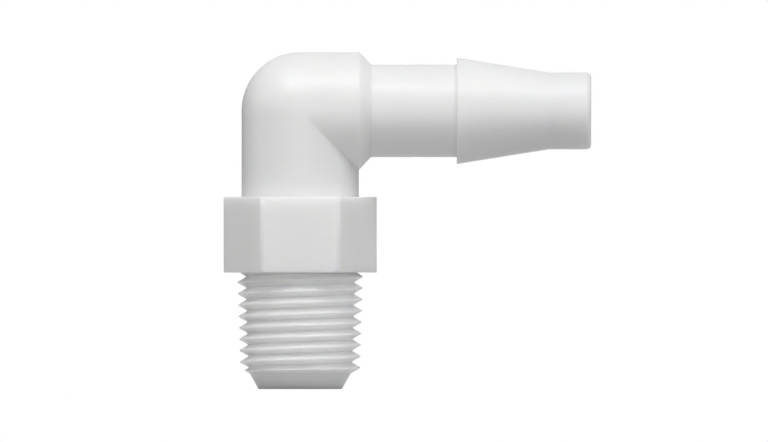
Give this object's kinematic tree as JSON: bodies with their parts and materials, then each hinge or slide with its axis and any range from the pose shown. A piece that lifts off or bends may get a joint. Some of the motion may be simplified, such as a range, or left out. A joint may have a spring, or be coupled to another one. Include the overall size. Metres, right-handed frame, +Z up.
{
  "type": "angled hose nipple",
  "caption": "Moulded right-angle fitting with a male taper pipe thread and spanner hexagon below and a single-barb hose tail to the side.",
  "frame": {"origin": "on the thread's axis, in the plane of the hexagon's underside", "axes": "+Z up along the thread's axis, away from the pipe end; +X along the hose leg, towards its tip; flats of the hexagon face -Y and +Y"},
  "size_m": [0.0304, 0.0112, 0.0278],
  "materials": {
    "moulding": "satin"
  },
  "bodies": {
    "root": {"elbow_nipple": "moulding"}
  },
  "joints": []
}
